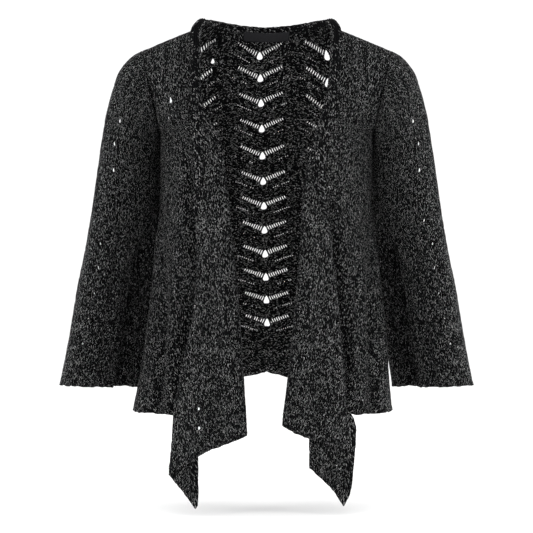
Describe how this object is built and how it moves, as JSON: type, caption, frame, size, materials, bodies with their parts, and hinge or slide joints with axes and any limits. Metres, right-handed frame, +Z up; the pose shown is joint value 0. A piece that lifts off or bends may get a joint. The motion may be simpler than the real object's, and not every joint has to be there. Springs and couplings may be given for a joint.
{
  "type": "cardigan",
  "caption": "Open-fronted cardigan in a chunky pointelle knit, with wide three-quarter sleeves and fronts that drape in waterfall folds to pointed tails.",
  "frame": {"origin": "where the wearer holds the garment: on the centre plane between the shoulder seams, at the base of the neck", "axes": "+Z up, -Y the front of the garment, +X the wearer's left"},
  "size_m": [0.6204, 0.2519, 0.7218],
  "materials": {
    "knit": "matt black chunky knit with a silver metallic fleck",
    "rib": "matt black rib with a silver metallic fleck",
    "label": "black woven satin, bare"
  },
  "bodies": {
    "root": {"back_panel": "knit", "front_right": "knit", "front_left": "knit", "front_band_right": "rib", "front_band_left": "rib", "neckband_back": "rib", "neck_label": "label", "sleeve_right_front": "knit", "sleeve_right_back": "knit", "sleeve_left_front": "knit", "sleeve_left_back": "knit"}
  },
  "joints": []
}
